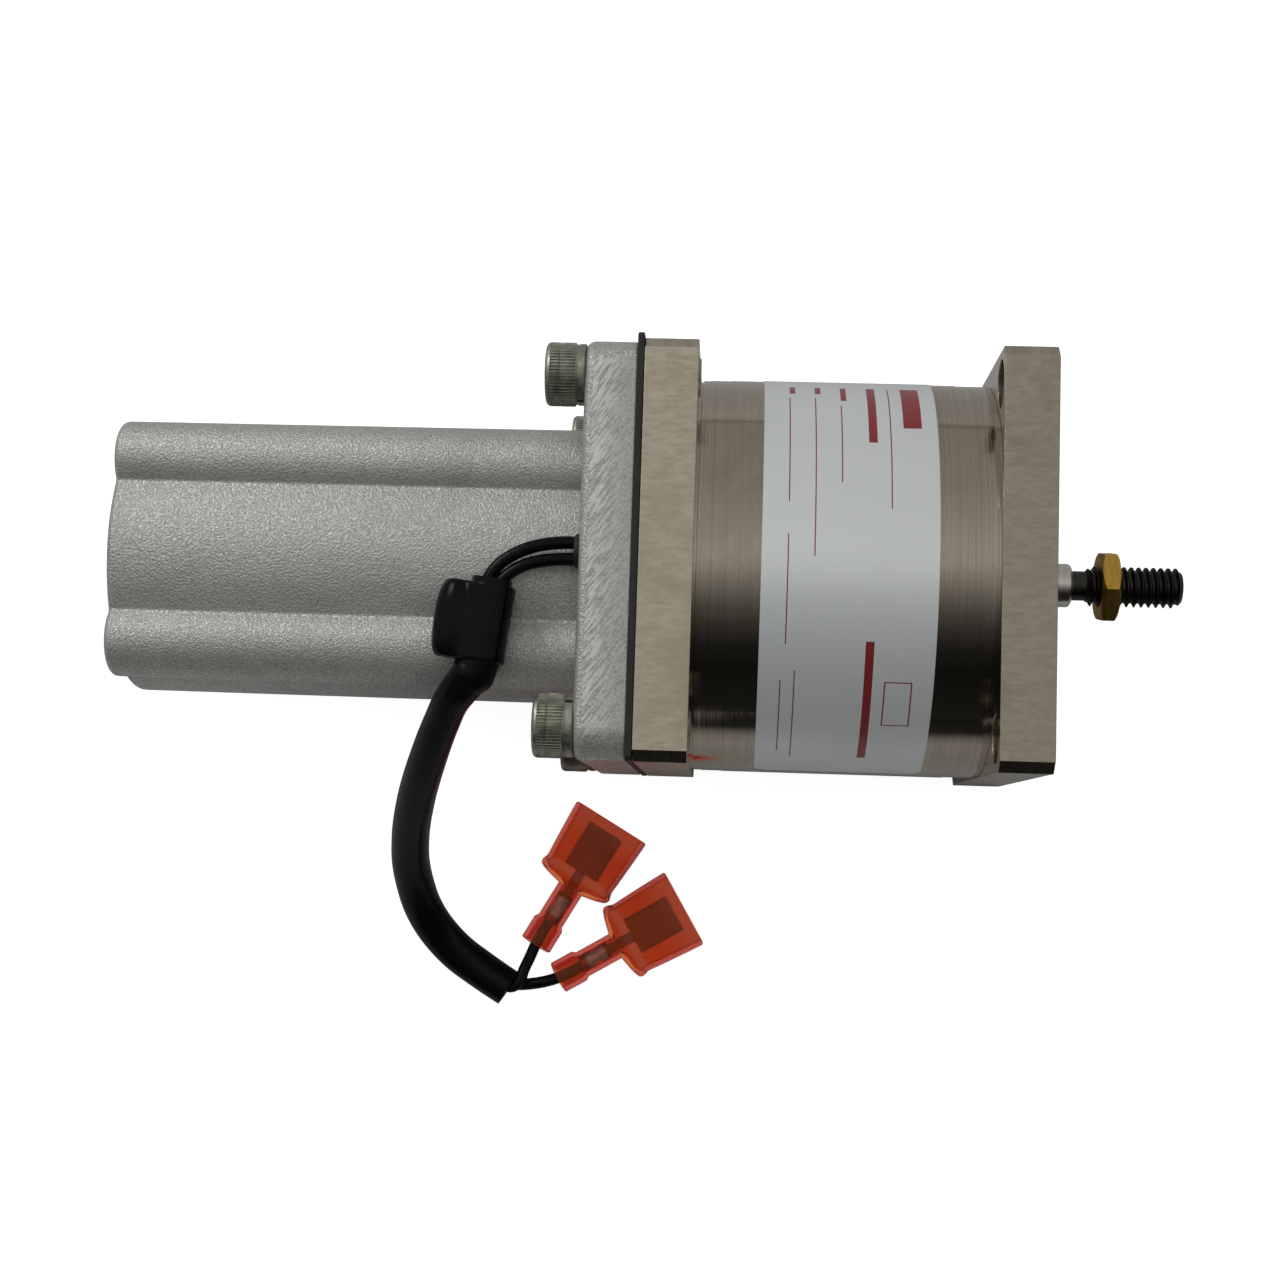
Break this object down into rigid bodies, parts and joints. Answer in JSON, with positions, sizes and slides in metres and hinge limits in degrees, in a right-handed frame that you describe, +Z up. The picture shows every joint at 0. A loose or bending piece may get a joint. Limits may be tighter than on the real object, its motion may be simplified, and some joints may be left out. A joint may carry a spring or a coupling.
{
  "type": "engine governor actuator",
  "caption": "Linear solenoid governor actuator: square-flanged steel case, cast spring cover, spring-returned threaded output shaft and flying leads with spade connectors.",
  "frame": {"origin": "centre of the mounting bolt pattern, on the mounting face of the front flange", "axes": "+X along the output shaft, out of the mounting face; +Z up from the flats that the part lies on; the flying leads lie on the -Y side"},
  "size_m": [0.2029, 0.1254, 0.0762],
  "materials": {
    "plated_steel": "nickel plated, ground flats and turned body",
    "cast_aluminium": "die cast, fine blasted grain",
    "black_rubber": "matt",
    "screw_steel": "dull grey plating, knurled",
    "plate_film": "glossy metallised film, blank",
    "coil_nylon": "moulded",
    "copper": "enamelled wire",
    "coil_tape": "polyester tape",
    "brass": "turned",
    "core_steel": "turned",
    "shaft_steel": "ground",
    "black_steel": "black oxide, threaded",
    "lead_plastic": "extruded",
    "red_nylon": "translucent moulding",
    "tinned_brass": "tinned sheet"
  },
  "bodies": {
    "case": {"solenoid_case": "plated_steel", "spring_cover": "cast_aluminium", "cover_gasket": "black_rubber", "cover_screws": "screw_steel", "lock_washers": "screw_steel", "nameplate": "plate_film", "coil_bobbin": "coil_nylon", "coil_winding": "copper", "coil_wrap": "coil_tape", "guide_tube": "brass", "rear_flux_plate": "core_steel", "pole_piece": "core_steel", "stop_shim": "brass", "front_bushing": "brass", "wiper_seal": "black_rubber", "spring_seat": "core_steel", "return_spring": "core_steel", "rest_bumper": "black_rubber", "lead_grommet": "black_rubber", "lead_wire_a": "lead_plastic", "lead_wire_b": "lead_plastic", "lead_sleeve": "lead_plastic", "lead_clip": "lead_plastic", "insulator_a": "red_nylon", "insulator_b": "red_nylon", "terminal_a": "tinned_brass", "terminal_b": "tinned_brass"},
    "moving_core": {"plunger": "core_steel", "output_shaft": "shaft_steel", "threaded_stud": "black_steel", "jam_nut": "brass", "spring_retainer": "core_steel", "retainer_nut": "core_steel"}
  },
  "joints": [
    {"name": "plunger_slide", "type": "slide", "parent": "case", "child": "moving_core", "axis": [1, 0, 0], "range_m": [0, 0.016], "stiffness_N_per_m": 1500, "springref_m": -0.02, "deforming": ["return_spring"]}
  ]
}
